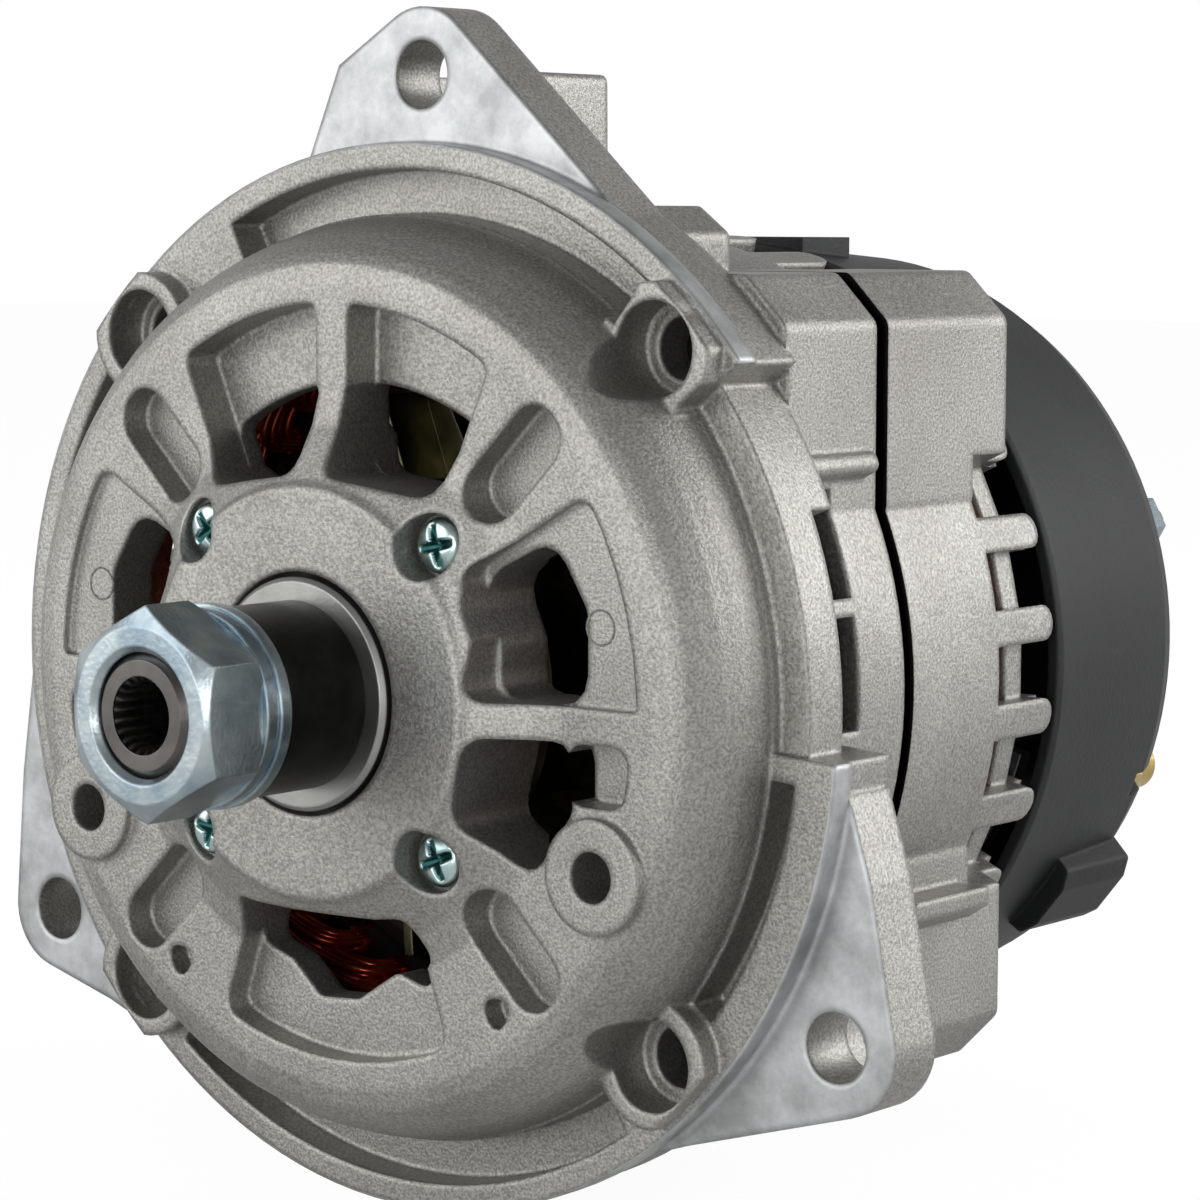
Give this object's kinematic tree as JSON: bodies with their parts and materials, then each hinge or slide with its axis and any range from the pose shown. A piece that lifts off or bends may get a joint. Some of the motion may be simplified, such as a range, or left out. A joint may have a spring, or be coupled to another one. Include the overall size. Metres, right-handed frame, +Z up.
{
  "type": "flange-mounted alternator",
  "caption": "Claw-pole alternator with a three-ear cast flange, open windows, slotted cast rear housing, nut-held shaft end and moulded rear cover.",
  "frame": {"origin": "On the shaft axis, in the plane of the machined front faces of the three mounting ears.", "axes": "-Y is the drive end, along the shaft; +Z is up, through the upper ear; +X is to the right seen from the drive end."},
  "size_m": [0.1583, 0.1805, 0.162],
  "materials": {
    "cast_aluminium": "as die cast, fine grain",
    "sheet_steel": "plain",
    "zinc_steel": "bright zinc",
    "bearing_steel": "ground",
    "cage_polymer": "plain",
    "seal_rubber": "matte",
    "black_steel": "black oxide",
    "pole_steel": "forged",
    "bobbin_polymer": "plain",
    "rotor_wire": "enamelled",
    "stator_wire": "red enamel",
    "lamination": "varnished stack",
    "slip_copper": "polished",
    "black_polymer": "moulded",
    "sleeve_polymer": "moulded",
    "sink_aluminium": "rolled",
    "diode_case": "nickel plated",
    "brush_carbon": "pressed carbon and copper",
    "spring_steel": "plain",
    "terminal_brass": "plain",
    "cover_polymer": "moulded, charcoal",
    "insulator_polymer": "moulded"
  },
  "bodies": {
    "housing": {"front_housing": "cast_aluminium", "bearing_retainer_plate": "sheet_steel", "retainer_screws": "zinc_steel", "front_bearing_outer_race": "bearing_steel", "front_bearing_seals": "seal_rubber", "rear_bearing_outer_race": "bearing_steel", "rear_bearing_seals": "seal_rubber", "rear_bearing_sleeve": "sleeve_polymer", "stator_core": "lamination", "stator_winding": "stator_wire", "phase_leads": "stator_wire", "rear_housing": "cast_aluminium", "case_screws": "black_steel", "rectifier_negative_plate": "sink_aluminium", "rectifier_positive_plate": "sink_aluminium", "rectifier_spacers": "insulator_polymer", "negative_diodes": "diode_case", "positive_diodes": "diode_case", "rectifier_terminal_board": "black_polymer", "output_stud": "terminal_brass", "output_nut": "terminal_brass", "output_insulator": "insulator_polymer", "brush_holder": "black_polymer", "inner_brush_spring": "spring_steel", "outer_brush_spring": "spring_steel", "regulator_body": "black_polymer", "regulator_screws": "zinc_steel", "connector_pins": "terminal_brass", "rear_cover": "cover_polymer", "cover_studs": "zinc_steel", "cover_nuts": "zinc_steel"},
    "rotor": {"rotor_shaft": "bearing_steel", "front_collar": "bearing_steel", "spacer_sleeve": "black_steel", "flat_washer": "zinc_steel", "lock_washer": "zinc_steel", "shaft_nut": "zinc_steel", "front_claw_pole": "pole_steel", "rear_claw_pole": "pole_steel", "rotor_coil": "rotor_wire", "coil_bobbin": "bobbin_polymer", "front_fan": "sheet_steel", "rear_fan": "sheet_steel", "slip_ring_hub": "insulator_polymer", "slip_ring_inner": "slip_copper", "slip_ring_outer": "slip_copper", "front_bearing_inner_race": "bearing_steel", "rear_bearing_inner_race": "bearing_steel"},
    "front_ball_set": {"front_bearing_balls": "bearing_steel", "front_bearing_cage": "cage_polymer"},
    "rear_ball_set": {"rear_bearing_balls": "bearing_steel", "rear_bearing_cage": "cage_polymer"},
    "inner_brush_body": {"inner_brush": "brush_carbon"},
    "outer_brush_body": {"outer_brush": "brush_carbon"}
  },
  "joints": [
    {"name": "rotor_spin", "type": "hinge", "parent": "housing", "child": "rotor", "pos_m": [0, 0, 0], "axis": [0, -1, 0], "continuous": true},
    {"name": "front_balls_spin", "type": "hinge", "parent": "housing", "child": "front_ball_set", "pos_m": [0, 0, 0], "axis": [0, -1, 0], "continuous": true},
    {"name": "rear_balls_spin", "type": "hinge", "parent": "housing", "child": "rear_ball_set", "pos_m": [0, 0, 0], "axis": [0, -1, 0], "continuous": true},
    {"name": "inner_brush_slide", "type": "slide", "parent": "housing", "child": "inner_brush_body", "axis": [0, 0, 1], "range_m": [0, 0.006], "stiffness_N_per_m": 120, "springref_m": -0.012, "deforming": ["inner_brush_spring"]},
    {"name": "outer_brush_slide", "type": "slide", "parent": "housing", "child": "outer_brush_body", "axis": [0, 0, 1], "range_m": [0, 0.006], "stiffness_N_per_m": 120, "springref_m": -0.012, "deforming": ["outer_brush_spring"]}
  ],
  "couplings": [
    {"joint": "front_balls_spin", "follows": "rotor_spin", "ratio": 0.3647},
    {"joint": "rear_balls_spin", "follows": "rotor_spin", "ratio": 0.382}
  ]
}
